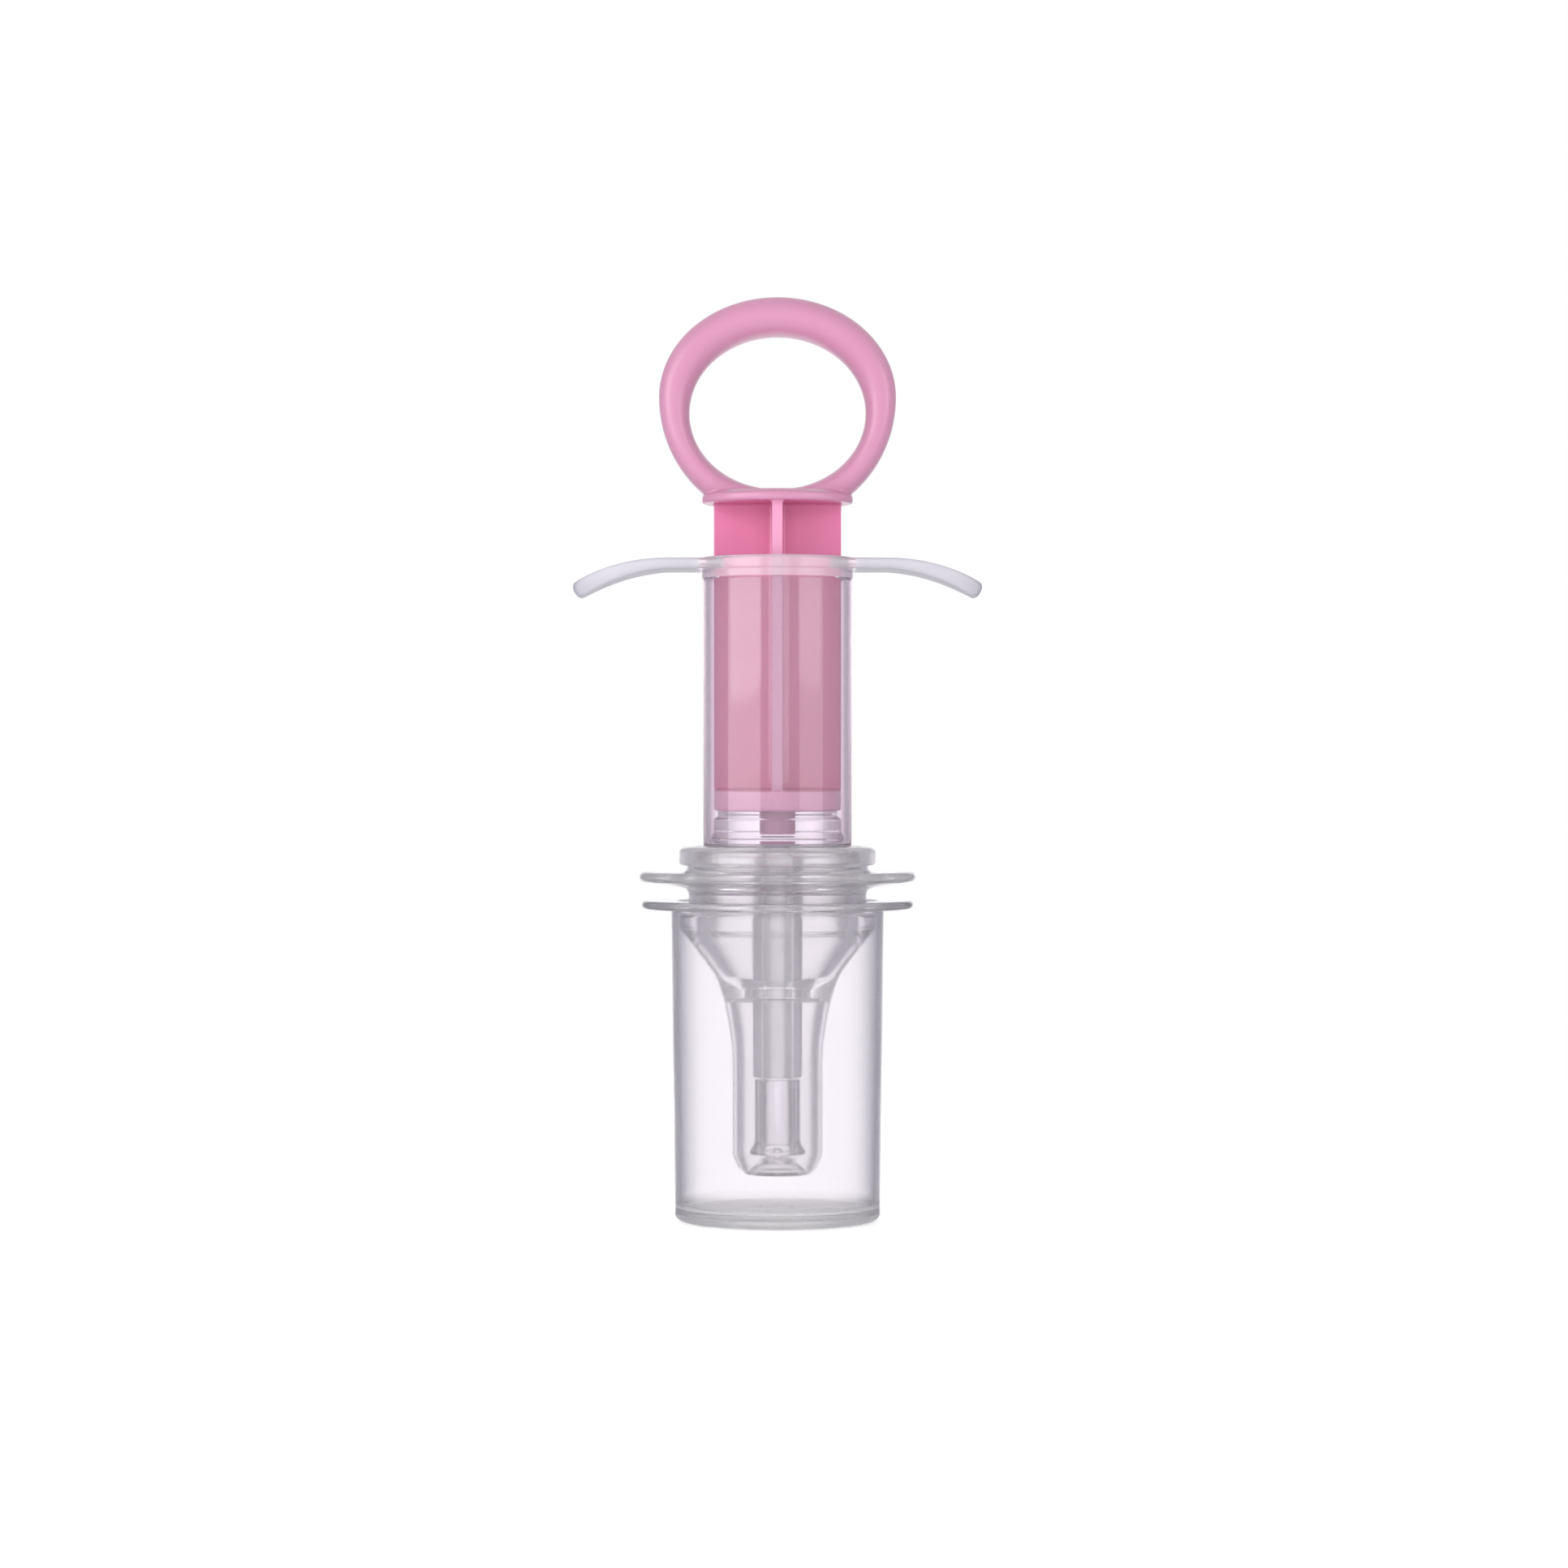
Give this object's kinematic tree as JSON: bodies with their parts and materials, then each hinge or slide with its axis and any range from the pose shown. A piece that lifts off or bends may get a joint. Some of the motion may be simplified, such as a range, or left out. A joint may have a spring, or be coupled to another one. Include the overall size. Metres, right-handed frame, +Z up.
{
  "type": "oral medicine syringe with teat",
  "caption": "Clear oral medicine syringe with a ring-pull plunger, finger wings, a silicone teat behind a mouth guard, and a dust cap.",
  "frame": {"origin": "centre of the dust cap's flat underside, on the barrel's axis", "axes": "+Z up the barrel's axis from the cap to the ring handle, X along the finger wings, Y through the ring handle's opening"},
  "size_m": [0.063, 0.0426, 0.142],
  "materials": {
    "pink_plastic": "moulded, satin gloss",
    "clear_plastic": "clear moulded plastic, glossy",
    "guard_plastic": "clear moulded plastic, slightly hazy",
    "clear_silicone": "clear silicone, slightly hazy"
  },
  "bodies": {
    "cap": {"dust_cap": "clear_plastic"},
    "teat_unit": {"teat_collar": "guard_plastic", "teat": "clear_silicone", "feed_tube": "clear_silicone"},
    "barrel": {"barrel": "clear_plastic"},
    "plunger": {"plunger": "pink_plastic", "piston_seal": "clear_silicone"}
  },
  "joints": [
    {"name": "cap_pull", "type": "slide", "parent": "cap", "child": "teat_unit", "axis": [0, 0, 1], "range_m": [0, 0.05]},
    {"name": "barrel_pull", "type": "slide", "parent": "teat_unit", "child": "barrel", "axis": [0, 0, 1], "range_m": [0, 0.04]},
    {"name": "plunger_slide", "type": "slide", "parent": "barrel", "child": "plunger", "axis": [0, 0, 1], "range_m": [0, 0.038]}
  ]
}
